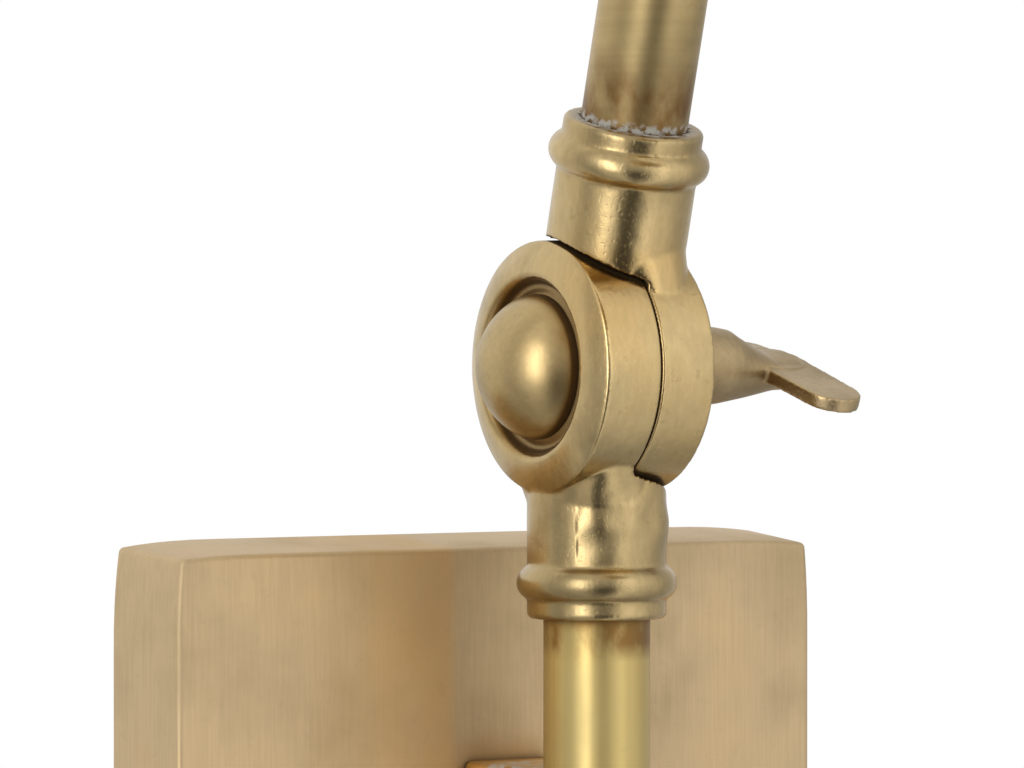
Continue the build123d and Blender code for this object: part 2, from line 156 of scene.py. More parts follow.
class WallLampStage(bpy.types.PropertyGroup):
    """Camera and light."""
    azimuth: bpy.props.FloatProperty(name="Camera azimuth", description="Angle of the camera about the lamp",
                                     default=math.radians(-33.43), subtype="ANGLE")
    pan: bpy.props.FloatProperty(name="Camera pan", description="Angle of the camera's line of sight in plan",
                                 default=math.radians(-32.6), subtype="ANGLE")
    camera_height: length("Camera height", 12 * MM, "Height of the camera over the lower pivot")
    camera_reach: length("Camera reach", 0.9861, "Level distance from the camera to the lower pivot")
    lens: bpy.props.FloatProperty(name="Lens", description="Focal length of the camera in millimetres",
                                  default=205.8, min=20, max=400)


# ---------------------------------------------------------------- mesh tools

def rounded(points):
    """An outline from (x, y, fillet radius) corners, with each filleted corner made an arc."""
    corners = [Vector(point[:2]) for point in points]
    outline = []
    for index, corner in enumerate(corners):
        fillet = points[index][2] if len(points[index]) > 2 else 0
        if not fillet or index in (0, len(points) - 1):
            outline.append(corner)
            continue
        before = (corners[index - 1] - corner).normalized()
        after = (corners[index + 1] - corner).normalized()
        half = before.angle(after) / 2
        start = corner + before * (fillet / math.tan(half))
        centre = corner + (before + after).normalized() * (fillet / math.sin(half))
        sweep = math.pi - 2 * half
        turn = 1 if before.x * after.y - before.y * after.x < 0 else -1
        steps = max(2, math.ceil(sweep / math.radians(11)))
        for step in range(steps + 1):
            arm = start - centre
            arm.rotate(Matrix.Rotation(turn * sweep * step / steps, 2))
            outline.append(centre + arm)
    return outline


def arc(centre, radius, start, end, steps):
    """Points on an arc, angles in degrees."""
    angles = [math.radians(start + (end - start) * step / steps) for step in range(steps + 1)]
    return [Vector((centre[0] + radius * math.cos(a), centre[1] + radius * math.sin(a))) for a in angles]


def spun(outline, place, closed=False, segments=CIRCLE_STEPS):
    """A bmesh of an outline of (radius, height) spun about a frame's z."""
    bm = bmesh.new()
    verts = [bm.verts.new((radius * MM, 0, height * MM)) for radius, height in outline]
    edges = [bm.edges.new(pair) for pair in zip(verts, verts[1:])]
    if closed:
        edges.append(bm.edges.new((verts[-1], verts[0])))
    bmesh.ops.spin(bm, geom=verts + edges, cent=(0, 0, 0), axis=(0, 0, 1), dvec=(0, 0, 0),
                   angle=2 * math.pi, steps=segments, use_merge=True)
    bmesh.ops.remove_doubles(bm, verts=bm.verts, dist=1e-7)
    bmesh.ops.recalc_face_normals(bm, faces=bm.faces)
    bmesh.ops.transform(bm, matrix=place, verts=bm.verts)
    return bm


def finished(name, bm, body, material, nodes):
    """The mesh made an object that rides on its body and stands for its CAD nodes."""
    mesh = bpy.data.meshes.new(name)
    for face in bm.faces:
        face.smooth = True
    bm.to_mesh(mesh)
    bm.free()
    mesh.materials.append(material)
    piece = bpy.data.objects.new(name, mesh)
    bpy.context.scene.collection.objects.link(piece)
    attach(piece, body)
    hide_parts(*nodes)


def crisp(bm):
    """Marks the edges sharper than the crease angle, so that smooth shading stops at them."""
    for edge in bm.edges:
        if len(edge.link_faces) == 2 and edge.calc_face_angle(0) > CREASE_ANGLE:
            edge.smooth = False
    return bm


def softened(bm, verts, rounds):
    """Moves verts halfway towards their neighbours, some number of times."""
    for _ in range(rounds):
        bmesh.ops.smooth_vert(bm, verts=verts, factor=0.5, use_axis_x=True, use_axis_y=True, use_axis_z=True)


def cast_copy(node, grid, lumps, rounding, seed):
    """A node's solid remade on a fine grid, its edges softened and its skin uneven like a sand casting.

    grid and lumps are in metres, rounding is a count of smoothing rounds, and seed shifts the lumps.
    """
    lump_scale = 140
    fine_lumps = 2.7
    bm = bmesh.new()
    bm.from_mesh(frame["nodes"][node].data)
    bmesh.ops.remove_doubles(bm, verts=bm.verts, dist=1e-6)
    mesh = bpy.data.meshes.new(node + "_blank")
    bm.to_mesh(mesh)
    bm.free()
    blank = bpy.data.objects.new(node + "_blank", mesh)
    bpy.context.scene.collection.objects.link(blank)
    remesh = blank.modifiers.new("grid", "REMESH")
    remesh.mode = "VOXEL"
    remesh.voxel_size = grid
    evaluated = blank.evaluated_get(bpy.context.evaluated_depsgraph_get())
    remade = bpy.data.meshes.new_from_object(evaluated)
    bm = bmesh.new()
    bm.from_mesh(remade)
    softened(bm, bm.verts, rounding)
    bm.normal_update()
    for vert in bm.verts:
        spot = vert.co * lump_scale + Vector((seed, 0, 0))
        wave = noise.noise(spot) + 0.5 * noise.noise(spot * fine_lumps)
        vert.co += vert.normal * (lumps * wave - 0.1 * lumps)
    bpy.data.objects.remove(blank)
    bpy.data.meshes.remove(remade)
    return bm


# ---------------------------------------------------------------- materials

def node_material(name):
    """A fresh material with its shader, node list and link function."""
    material = bpy.data.materials.new(name)
    material.use_nodes = True
    nodes = material.node_tree.nodes
    return material, nodes, material.node_tree.links.new, nodes["Principled BSDF"]


def noise_at(nodes, link, scale, detail, stretch=(1, 1, 1)):
    """A noise texture on Object coordinates; scale is in waves per metre and a Mapping node stretches it."""
    coords = nodes.new("ShaderNodeTexCoord")
    mapping = nodes.new("ShaderNodeMapping")
    mapping.inputs["Scale"].default_value = stretch
    texture = nodes.new("ShaderNodeTexNoise")
    texture.inputs["Scale"].default_value = scale
    texture.inputs["Detail"].default_value = detail
    texture.inputs["Roughness"].default_value = 0.55
    link(coords.outputs["Object"], mapping.inputs["Vector"])
    link(mapping.outputs["Vector"], texture.inputs["Vector"])
    return texture.outputs["Fac"]


def ramp(nodes, link, source, stops):
    """A colour ramp over a value; stops are (position, red green blue)."""
    node = nodes.new("ShaderNodeValToRGB")
    elements = node.color_ramp.elements
    while len(elements) < len(stops):
        elements.new(0.5)
    for element, (position, value) in zip(elements, stops):
        element.position = position
        element.color = (*value, 1)
    link(source, node.inputs["Fac"])
    return node.outputs["Color"]


def grey(value):
    """A colour with three equal channels."""
    return (value, value, value)


def tinted(tone, red, green, blue):
    """A colour with each channel multiplied."""
    return (tone[0] * red, tone[1] * green, tone[2] * blue)


def product(nodes, link, first, second):
    """Two colours multiplied."""
    return mixed(nodes, link, 1.0, first, second, "MULTIPLY")


def along(nodes, link, axis, low, high):
    """A value that runs from 0 to 1 between two distances along an Object axis."""
    coords = nodes.new("ShaderNodeTexCoord")
    split = nodes.new("ShaderNodeSeparateXYZ")
    link(coords.outputs["Object"], split.inputs["Vector"])
    spread = nodes.new("ShaderNodeMapRange")
    spread.inputs["From Min"].default_value = low
    spread.inputs["From Max"].default_value = high
    link(split.outputs[axis], spread.inputs["Value"])
    return spread.outputs["Result"]


def closeness(nodes, link, distance, stops):
    """A ramp over ambient occlusion within a distance."""
    node = nodes.new("ShaderNodeAmbientOcclusion")
    node.inputs["Distance"].default_value = distance
    node.samples = 6
    return ramp(nodes, link, node.outputs["AO"], stops)


def mixed(nodes, link, amount, first, second, mode="MIX"):
    """Two colours mixed by an amount; each may be a socket or a colour."""
    node = nodes.new("ShaderNodeMix")
    node.data_type = "RGBA"
    node.blend_type = mode
    for socket, value in ((node.inputs["Factor"], amount), (node.inputs[6], first), (node.inputs[7], second)):
        if isinstance(value, bpy.types.NodeSocket):
            link(value, socket)
        else:
            socket.default_value = value if isinstance(value, float) else (*value, 1)
    return node.outputs[2]


def bumped(nodes, link, shader, heights):
    """Chained bumps from (height socket, distance in metres, strength)."""
    last = None
    for height, distance, strength in heights:
        node = nodes.new("ShaderNodeBump")
        node.inputs["Strength"].default_value = strength
        node.inputs["Distance"].default_value = distance
        link(height, node.inputs["Height"])
        if last:
            link(last, node.inputs["Normal"])
        last = node.outputs["Normal"]
    link(last, shader.inputs["Normal"])


def near_mask(nodes, link, places, outer, soft):
    """White within a distance of the nearest of some places, fading out over a soft edge, in millimetres."""
    coords = nodes.new("ShaderNodeTexCoord")
    nearest = None
    for place in places:
        reach = nodes.new("ShaderNodeVectorMath")
        reach.operation = "DISTANCE"
        reach.inputs[1].default_value = place
        link(coords.outputs["Object"], reach.inputs[0])
        if nearest is None:
            nearest = reach.outputs["Value"]
            continue
        nearer = nodes.new("ShaderNodeMath")
        nearer.operation = "MINIMUM"
        link(nearest, nearer.inputs[0])
        link(reach.outputs["Value"], nearer.inputs[1])
        nearest = nearer.outputs["Value"]
    spread = nodes.new("ShaderNodeMapRange")
    spread.inputs["From Max"].default_value = 2 * outer * MM
    link(nearest, spread.inputs["Value"])
    edge = min(1, 0.5 + soft / 2 / outer)
    return ramp(nodes, link, spread.outputs["Result"], [(0.0, grey(1)), (0.5, grey(1)), (edge, grey(0))])


# The pale deposit's colour, and bump depths in metres.
DEPOSIT = (0.60, 0.58, 0.53)
GRAIN_DEPTH = 0.00002
PIT_DEPTH = 0.00008
WAVE_DEPTH = 0.00022


def aged_brass(name, bright, roughness, stretch, patina=0.5, pits=0.0, grain=0.5, smudge=None, residue=None,
               corner=2.2, metal=1.0, post_reflection_band=None, fine=900):
    """Brass with a brushed grain, cloudy patina, small pits, corners darkened by dirt and painted shade, a
    broader painted shade and a band of painted reflection.

    stretch and fine set the brushing; patina, pits and grain are strengths; corner is the reach of the
    corner dirt and painted shade and post_reflection_band the two ends of the brown band of painted
    reflection along x, in millimetres; smudge and residue are near_mask's places and distances.
    """
    dark = tuple(bpy.context.scene.wall_lamp_finish.grime_and_shade_colour)
    material, nodes, link, shader = node_material(name)
    shader.inputs["Metallic"].default_value = metal
    clouds = noise_at(nodes, link, 38, 5)
    flecks = noise_at(nodes, link, 420, 3)
    brush = noise_at(nodes, link, fine, 3, stretch)
    fade = 1 - 0.42 * patina
    tone = ramp(nodes, link, clouds, [(0.34, tinted(bright, fade, fade, fade)), (0.52, tuple(bright)),
                                      (0.72, tinted(bright, 1.04, 0.97, 0.86))])
    streak = ramp(nodes, link, brush, [(0.35, grey(0.86)), (0.65, grey(1.0))])
    tone = mixed(nodes, link, 0.6, tone, streak, "MULTIPLY")
    # Ambient occlusion within the corner reach darkens the brass: partly real dirt, partly painted shade.
    dirt_and_shade_mask = closeness(nodes, link, corner * MM, [(0.35, grey(1)), (0.75, grey(0))])
    # Painted shade: a wider ambient-occlusion reach browns and darkens the brass near other parts.
    shade = closeness(nodes, link, 3 * corner * MM, [(0.50, grey(0.9)), (0.96, grey(0))])
    tone = mixed(nodes, link, shade, tone, tinted(bright, 0.62, 0.50, 0.34))
    tone = mixed(nodes, link, dirt_and_shade_mask, tone, dark)
    # Painted reflection: a browner vertical band on the plate where it mirrors the post.
    if post_reflection_band:
        across = along(nodes, link, "X", post_reflection_band[0] * MM, post_reflection_band[1] * MM)
        cloudy = ramp(nodes, link, noise_at(nodes, link, 60, 5, (1, 1, 0.25)),
                      [(0.30, grey(0.25)), (0.62, grey(1))])
        runs = ramp(nodes, link, across,
                    [(0.0, grey(0)), (0.55, grey(0.75)), (0.93, grey(1)), (1.0, grey(0))])
        tone = mixed(nodes, link, product(nodes, link, runs, cloudy), tone, tinted(bright, 1.0, 0.89, 0.70))
    speck = ramp(nodes, link, flecks, [(0.62, grey(0)), (0.70, grey(1))])
    spotted = mixed(nodes, link, speck, tone, tinted(bright, 0.55, 0.55, 0.55))
    tone = mixed(nodes, link, 0.35 * patina, tone, spotted)
    matt = ramp(nodes, link, clouds, [(0.3, grey(min(1, roughness * 1.35))), (0.7, grey(roughness * 0.85))])
    matt = mixed(nodes, link, dirt_and_shade_mask, matt, grey(0.7))
    if smudge:
        blotch = ramp(nodes, link, noise_at(nodes, link, 170, 5, (1, 1, 0.5)),
                      [(0.38, grey(0.1)), (0.58, grey(1))])
        smear = product(nodes, link, near_mask(nodes, link, *smudge), blotch)
        tone = mixed(nodes, link, smear, tone, tinted(bright, 0.42, 0.30, 0.20))
    if residue:
        crust = ramp(nodes, link, noise_at(nodes, link, 700, 5), [(0.44, grey(0)), (0.56, grey(1))])
        crust = product(nodes, link, near_mask(nodes, link, *residue), crust)
        tone = mixed(nodes, link, crust, tone, DEPOSIT)
        matt = mixed(nodes, link, crust, matt, grey(0.85))
    link(tone, shader.inputs["Base Color"])
    link(matt, shader.inputs["Roughness"])
    heights = [(brush, GRAIN_DEPTH, grain)]
    if pits:
        pitted = ramp(nodes, link, noise_at(nodes, link, 1500, 4), [(0.30, grey(0)), (0.42, grey(1))])
        heights.append((pitted, PIT_DEPTH, pits))
        heights.append((noise_at(nodes, link, 330, 5), WAVE_DEPTH, pits))
    bumped(nodes, link, shader, heights)
    return material


def grained(name, tone, roughness, metal, cloud_scale, low, dull, grain, depth):
    """A material in one tone, a little darker and duller in clouds, with a fine surface grain."""
    material, nodes, link, shader = node_material(name)
    shader.inputs["Metallic"].default_value = metal
    clouds = noise_at(nodes, link, cloud_scale, 4)
    link(ramp(nodes, link, clouds, [(0.35, tinted(tone, low, low, low)), (0.65, tone)]),
         shader.inputs["Base Color"])
    link(ramp(nodes, link, clouds, [(0.3, grey(roughness * dull)), (0.7, grey(roughness))]),
         shader.inputs["Roughness"])
    bumped(nodes, link, shader, [(noise_at(nodes, link, grain, 3), depth, 0.4)])
    return material


def plain_metal(name, tone, roughness):
    """Plated steel or bright brass of the small inner pieces."""
    return grained(name, tone, roughness, 1.0, 120, 0.8, 1.3, 1400, 0.00003)


def moulded(name, tone, roughness):
    """Plastic, rubber, fibre or paint."""
    return grained(name, tone, roughness, 0.0, 60, 0.78, 1.2, 600, 0.00004)


def opal_glass(name):
    """White diffusing bulb glass with a gloss."""
    material, nodes, link, shader = node_material(name)
    clouds = noise_at(nodes, link, 30, 2)
    link(ramp(nodes, link, clouds, [(0.3, (0.86, 0.85, 0.81)), (0.7, (0.93, 0.92, 0.89))]),
         shader.inputs["Base Color"])
    shader.inputs["Roughness"].default_value = 0.16
    shader.inputs["Coat Weight"].default_value = 0.6
    shader.inputs["Coat Roughness"].default_value = 0.05
    shader.inputs["Emission Color"].default_value = (1.0, 0.95, 0.86, 1)
    shader.inputs["Emission Strength"].default_value = 0.12
    bumped(nodes, link, shader, [(clouds, 0.0002, 0.1)])
    return material


# Filled by the first operator and read by the others.
finishes = {}


class WALLLAMP_OT_finishes(bpy.types.Operator):
    """Make every finish and give the carried-over CAD nodes theirs"""
    bl_idname = "wall_lamp.finishes"
    bl_label = "Finishes"

    def execute(self, context):
        finish = context.scene.wall_lamp_finish
        arm_line = (HEAD - PIVOT).normalized() * COLLAR_LIP * MM
        collars = (PIVOT + arm_line, HEAD - arm_line)
        post_lip = (PIVOT - UP * COLLAR_LIP * MM,)
        solder = (Vector((0, PIVOT.y + TUBE_RADIUS * MM, 28 * MM)),)
        brasses = {
            # The plate's brown band is painted reflection of the post.
            "plate_brass": dict(bright=finish.plate_bright, roughness=finish.plate_roughness,
                                stretch=(1, 1, 0.03), patina=0.25, grain=0.35, metal=0.75,
                                post_reflection_band=(-42, -9.5), fine=2400),
            # Painted reflection: the bracket's brighter, more orange brass copies its look where it mirrors
            # the brass around it.
            "bracket_brass": dict(bright=(0.86, 0.56, 0.20), roughness=0.30, stretch=(1, 1, 0.02),
                                  patina=0.3, residue=(solder, 13, 4), metal=0.9),
            "tube_brass": dict(bright=finish.tube_bright, roughness=finish.tube_roughness,
                               stretch=(1, 1, 0.015), patina=0.3, grain=0.3, metal=0.75,
                               smudge=(post_lip, 9.8, 1.6)),
            # A darker, browner copy of the tube brass: painted shade standing for the dark the arm tube
            # mirrors.
            "arm_brass": dict(bright=(0.50, 0.37, 0.17), roughness=0.32, stretch=(0.05, 0.05, 1),
                              patina=0.6, grain=0.3, metal=0.85, smudge=(collars, 10, 6),
                              residue=(collars, 9.03, 0.12)),
            "cast_brass": dict(bright=finish.cast_bright, roughness=finish.cast_roughness,
                               stretch=(1, 1, 0.3), patina=0.8, pits=0.2, grain=0.3, corner=3.4,
                               residue=(collars, 10.2, 1.4)),
            "wing_brass": dict(bright=(0.56, 0.42, 0.23), roughness=0.34, stretch=(1, 1, 0.3),
                               patina=0.7, pits=0.4, corner=5.0),
            "cap_brass": dict(bright=(0.54, 0.40, 0.19), roughness=0.31, stretch=(1, 1, 1),
                              patina=0.7, pits=0.08, corner=3.4),
            "spun_brass": dict(bright=(0.60, 0.44, 0.21), roughness=0.26, stretch=(1, 1, 1), patina=0.4),
            "key_brass": dict(bright=(0.55, 0.42, 0.22), roughness=0.28, stretch=(1, 1, 1), patina=0.5),
        }
        metals = {"plated_steel": ((0.55, 0.55, 0.53), 0.35), "contact_brass": ((0.72, 0.55, 0.27), 0.3),
                  "bulb_cap_metal": ((0.78, 0.78, 0.76), 0.25)}
        mouldings = {"earth_green": ((0.03, 0.25, 0.07), 0.4), "phenolic": ((0.035, 0.026, 0.02), 0.35),
                     "rubber": ((0.03, 0.03, 0.03), 0.7), "fibre": ((0.18, 0.06, 0.04), 0.8)}
        for name, settings in brasses.items():
            finishes[name] = aged_brass(name, **settings)
        for name, (tone, roughness) in metals.items():
            finishes[name] = plain_metal(name, tone, roughness)
        for name, (tone, roughness) in mouldings.items():
            finishes[name] = moulded(name, tone, roughness)
        finishes["opal_glass"] = opal_glass("opal_glass")
        slots = {part["node"]: part["material_slot"] for part in frame["record"]["subparts"]}
        for name, node in frame["nodes"].items():
            for index in range(len(node.material_slots)):
                node.material_slots[index].material = finishes[slots[name]]
        return {"FINISHED"}


# ---------------------------------------------------------------- pieces

def through(first, middle, last, steps):
    """Points on the arc from first through middle to last."""
    ax, ay = first
    bx, by = middle
    cx, cy = last
    scale = 2 * (ax * (by - cy) + bx * (cy - ay) + cx * (ay - by))
    squares = [x * x + y * y for x, y in (first, middle, last)]
    centre_x = (squares[0] * (by - cy) + squares[1] * (cy - ay) + squares[2] * (ay - by)) / scale
    centre_y = (squares[0] * (cx - bx) + squares[1] * (ax - cx) + squares[2] * (bx - ax)) / scale
    start = math.degrees(math.atan2(ay - centre_y, ax - centre_x))
    end = math.degrees(math.atan2(cy - centre_y, cx - centre_x))
    end = start + (end - start + 180) % 360 - 180
    return arc((centre_x, centre_y), math.hypot(ax - centre_x, ay - centre_y), start, end, steps)


def turned_piece(name, outline, place, body, slot, node, closed=True, segments=CIRCLE_STEPS, finish=None):
    """A turned piece for one CAD node, in its slot's finish or in another one."""
    bm = crisp(spun(outline, place, closed, segments))
    finished(name, bm, body, finishes[finish or slot], [node])


def brass_tube(name, place, start, end, body, node, finish="tube_brass"):
    """A tube with a bore and softly broken ends; its finish may be another brass than its slot's own."""
    edge = bpy.context.scene.wall_lamp_shape.tube_edge / MM
    middle = (start + end) / 2
    outline = rounded([(TUBE_BORE, middle), (TUBE_BORE, start), (TUBE_RADIUS, start, edge),
                       (TUBE_RADIUS, end, edge), (TUBE_BORE, end), (TUBE_BORE, middle)])
    turned_piece(name, outline[:-1], place, body, "tube_brass", node, finish=finish)


class WALLLAMP_OT_tubes(bpy.types.Operator):
    """Make the post, the arm's tube and the head's stem"""
    bl_idname = "wall_lamp.tubes"
    bl_label = "Tubes"

    def execute(self, context):
        low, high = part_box("post_tube")
        top = (PIVOT.z - high.z) / MM
        bottom = (PIVOT.z - low.z) / MM
        brass_tube("post_tube_brass", POST_FRAME, top, bottom, "wall", "post_tube")
        brass_tube("arm_tube_brass", ARM_FRAME, TUBE_START, ARM_LENGTH / MM - TUBE_START, "arm", "arm_tube",
                   "arm_brass")
        brass_tube("head_stem_brass", HEAD_FRAME, TUBE_START, STEM_END, "head", "head_stem")
        return {"FINISHED"}


def dress_knuckle(bm, place, seam, capped):
    """Sharpen a knuckle's edge along the seam; on the capped side crown its face and deepen the cap's groove.

    The sizes are in millimetres: x runs along the pivot and across is the distance from it.
    """
    inverse = place.inverted()
    face = seam + 0.12
    edge_reach, edge_inner, edge_outer = 0.8, 20.2, 21.4
    capped_face = 9.0
    groove_inner, groove_outer, groove_depth = 12.3, 14.7, 0.8
    crown_outer, crown_height, crown_start, crown_width, crown_power = 21.2, 0.75, 0.7, 6.5, 1.6
    neck_start, neck_end, neck_radius, neck_lumps, neck_scale = 19.0, 33.0, 9.5, 0.55, 0.19
    groove = []
    bm.normal_update()
    for vert in bm.verts:
        spot = inverse @ vert.co / MM
        across = math.hypot(spot.y, spot.z)
        if abs(spot.x - face) < edge_reach and edge_inner < across < edge_outer:
            if abs(DISC_RADIUS - across) < abs(spot.x - face):
                spread = DISC_RADIUS / across
                vert.co = place @ (Vector((spot.x, spot.y * spread, spot.z * spread)) * MM)
            else:
                vert.co = place @ (Vector((face, spot.y, spot.z)) * MM)
        elif capped and spot.x > capped_face:
            if groove_inner < across < groove_outer:
                part = (across - groove_inner) / (groove_outer - groove_inner)
                spot.x -= groove_depth * math.sin(math.pi * part)
            elif groove_outer <= across < crown_outer:
                part = across - groove_outer
                fall = 1 - (part / crown_width) ** crown_power
                spot.x += crown_height * min(1, part / crown_start) * fall
            vert.co = place @ (spot * MM)
            if groove_inner - 0.3 < across < groove_outer + 0.9:
                groove.append(vert)
        elif capped and neck_start < spot.z < neck_end and math.hypot(spot.x, spot.y) > neck_radius:
            swell = math.sin(math.pi * (spot.z - neck_start) / (neck_end - neck_start))
            vert.co += vert.normal * (neck_lumps * MM * swell * noise.noise(spot * neck_scale))
    softened(bm, groove, 5)


class WALLLAMP_OT_knuckles(bpy.types.Operator):
    """Make the four knuckle castings"""
    bl_idname = "wall_lamp.knuckles"
    bl_label = "Knuckle Castings"

    def execute(self, context):
        shape = context.scene.wall_lamp_shape
        halves = (("lower_knuckle", "swivel", POST_FRAME, HALF_GAP),
                  ("arm_knuckle", "arm", ARM_FRAME, -HALF_GAP),
                  ("arm_end_knuckle", "arm", ARM_END_FRAME, HALF_GAP),
                  ("head_knuckle", "head", HEAD_FRAME, -HALF_GAP))
        for seed, (node, body, place, seam) in enumerate(halves):
            bm = cast_copy(node, shape.casting_grid, shape.casting_lumps, 2, 7.0 * seed)
            dress_knuckle(bm, place, seam, seam > 0)
            finished(node + "_casting", bm, body, finishes["cast_brass"], [node])
        return {"FINISHED"}


class WALLLAMP_OT_wing_nuts(bpy.types.Operator):
    """Make the two wing nuts, each hub flattened towards its end"""
    bl_idname = "wall_lamp.wing_nuts"
    bl_label = "Wing Nuts"

    def execute(self, context):
        shape = context.scene.wall_lamp_shape
        flat_start, flat_length, flat_floor, flat_share = 26, 9, 1.2, 0.8
        flat_turn = Matrix.Rotation(math.radians(95), 4, "X")
        for node, body, place in (("wing_nut_lower", "lower_wing", ARM_FRAME),
                                  ("wing_nut_upper", "upper_wing", HEAD_FRAME)):
            bm = cast_copy(node, shape.casting_grid * 0.8, shape.casting_lumps * 2.2, 6, 31.0)
            flat = place @ flat_turn
            inverse = flat.inverted()
            for vert in bm.verts:
                spot = inverse @ vert.co / MM
                if spot.x > flat_start and spot.y > flat_floor:
                    share = flat_share * min(1, (spot.x - flat_start) / flat_length)
                    spot.y = flat_floor + (spot.y - flat_floor) * (1 - share)
                    vert.co = flat @ (spot * MM)
            finished(node + "_casting", bm, body, finishes["wing_brass"], [node])
        return {"FINISHED"}


class WALLLAMP_OT_plate(bpy.types.Operator):
    """Make the wall plate with its pillowed front"""
    bl_idname = "wall_lamp.plate"
    bl_label = "Wall Plate"

    def execute(self, context):
        shape = context.scene.wall_lamp_shape
        taper, wall, back_thickness, droop_width = 2.0 * MM, 5.8 * MM, 4 * MM, 16 * MM
        low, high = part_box("wall_plate")
        depth = -low.y
        half = high.x
        front = half - taper
        bm = bmesh.new()
        bmesh.ops.create_cube(bm, size=1)
        for vert in bm.verts:
            reach = front if vert.co.y < 0 else half
            level = -depth if vert.co.y < 0 else 0
            vert.co = Vector((math.copysign(reach, vert.co.x), level, math.copysign(reach, vert.co.z)))
        bm.normal_update()
        self.hollow(bm, wall, -depth + back_thickness)
        steps = (24, 18, 13, 9, 6, 4, 2.6, 1.6)
        for cut in [0.25 * front, 0.5 * front] + [front - step * MM for step in steps]:
            for normal in ((1, 0, 0), (-1, 0, 0), (0, 0, 1), (0, 0, -1)):
                self.cut(bm, Vector(normal) * cut, normal)
        for level in (1.6, 10):
            self.cut(bm, (0, -depth + level * MM, 0), (0, 1, 0))
        for vert in bm.verts:
            near_x = max(0, (abs(vert.co.x) - (front - droop_width)) / droop_width)
            near_z = max(0, (abs(vert.co.z) - (front - droop_width)) / droop_width)
            if vert.co.y < -depth * 0.99:
                vert.co.y += shape.plate_droop * 0.5 * min(1.0, near_x ** 2 + near_z ** 2)
            pull = shape.plate_droop * (near_x * near_z) ** 2
            vert.co.x -= math.copysign(pull, vert.co.x)
            vert.co.z -= math.copysign(pull, vert.co.z)
        bmesh.ops.recalc_face_normals(bm, faces=bm.faces)
        sharp = [edge for edge in bm.edges if edge.calc_face_angle(0) > math.radians(40)]
        bmesh.ops.bevel(bm, geom=sharp, offset=shape.plate_edge, offset_type="OFFSET", segments=4, profile=0.5,
                        affect="EDGES", material=-1)
        finished("wall_plate_brass", bm, "wall", finishes["plate_brass"], ["wall_plate"])
        return {"FINISHED"}

    def hollow(self, bm, wall, floor_level):
        """Sinks the back face inside a wall."""
        back = [face for face in bm.faces if face.normal.y > 0.9]
        bmesh.ops.inset_region(bm, faces=back, thickness=wall, use_even_offset=True)
        pushed = bmesh.ops.extrude_face_region(bm, geom=back)
        bmesh.ops.delete(bm, geom=back, context="FACES")
        floor = [item for item in pushed["geom"] if isinstance(item, bmesh.types.BMVert)]
        bmesh.ops.translate(bm, verts=floor, vec=(0, floor_level, 0))

    def cut(self, bm, place, normal):
        """Cuts every face that a plane crosses."""
        geometry = bm.verts[:] + bm.edges[:] + bm.faces[:]
        bmesh.ops.bisect_plane(bm, geom=geometry, plane_co=place, plane_no=normal)


class WALLLAMP_OT_bracket(bpy.types.Operator):
    """Make the bar that carries the post"""
    bl_idname = "wall_lamp.bracket"
    bl_label = "Bracket"

    def execute(self, context):
        bm = cast_copy("bracket_bar", 0.4 * MM, 0.04 * MM, 3, 3.0)
        finished("bracket_bar_brass", bm, "wall", finishes["bracket_brass"], ["bracket_bar"])
        return {"FINISHED"}


class WALLLAMP_OT_caps(bpy.types.Operator):
    """Make the domed caps of the two knuckles"""
    bl_idname = "wall_lamp.caps"
    bl_label = "Domed Caps"

    def execute(self, context):
        low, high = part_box("lower_cap")
        seat = -high.x / MM
        apex = -low.x / MM
        radius = (high.z - low.z) / 2 / MM
        skirt = 1.2
        clear = 0.03
        rise = apex - seat - skirt
        sphere = (radius ** 2 + rise ** 2) / (2 * rise)
        reach = math.degrees(math.asin(radius / sphere))
        if rise > sphere:
            reach = 180 - reach
        crown = [Vector((point.y, point.x)) for point in arc((apex - sphere, 0), sphere, 0, reach, 32)]
        crown[0].x = 0
        outline = crown + [Vector((radius, seat + clear)), Vector((0, seat + clear))]
        for name, place, body, node in (("lower_cap_dome", POST_FRAME, "swivel", "lower_cap"),
                                        ("end_cap_dome", ARM_END_FRAME, "arm", "end_cap")):
            turned_piece(name, outline, place @ ABOUT_PIVOT, body, "cap_brass", node, closed=False)
        return {"FINISHED"}


class WALLLAMP_OT_studs(bpy.types.Operator):
    """Make the two steel studs, stopped short inside the wing nuts' flattened ends"""
    bl_idname = "wall_lamp.studs"
    bl_label = "Pivot Studs"

    def execute(self, context):
        radius, wing_end, cap_end, edge = 2.95, -26, 15.1, 0.5
        shank = rounded([(0, wing_end), (radius, wing_end, edge), (radius, cap_end, edge), (0, cap_end)])
        for node, body, place in (("lower_stud", "swivel", POST_FRAME), ("end_stud", "arm", ARM_END_FRAME)):
            turned_piece(node + "_turned", shank, place @ ABOUT_PIVOT, body, "plated_steel", node,
                         closed=False, segments=STUD_STEPS)
        return {"FINISHED"}


class WALLLAMP_OT_shade(bpy.types.Operator):
    """Make the spun shade, its rolled rim and the ring that clamps it"""
    bl_idname = "wall_lamp.shade"
    bl_label = "Shade"

    def execute(self, context):
        outside = through((24, 74), (55, 98), (82, 172), 40)
        inside = through((80.8, 172), (54.2, 99), (24, 75.2), 40)
        bell = [Vector((16.6, 74)), *outside, *inside, Vector((16.6, 75.2))]
        turned_piece("shade_bell", bell, HEAD_FRAME, "head", "spun_brass", "shade", segments=SHADE_STEPS)
        roll = arc((81.4, 174), 2.0, 0, 345, 23)
        turned_piece("shade_rolled_rim", roll, HEAD_FRAME, "head", "spun_brass", "shade_rim",
                     segments=SHADE_STEPS)
        ring = rounded([(16.5, 79), (16.5, 75.25), (20, 75.25, 0.4), (20, 82, 0.6), (16.5, 82),
                        (16.5, 79)])
        turned_piece("shade_clamp_ring", ring[:-1], HEAD_FRAME, "head", "spun_brass", "shade_ring")
        return {"FINISHED"}


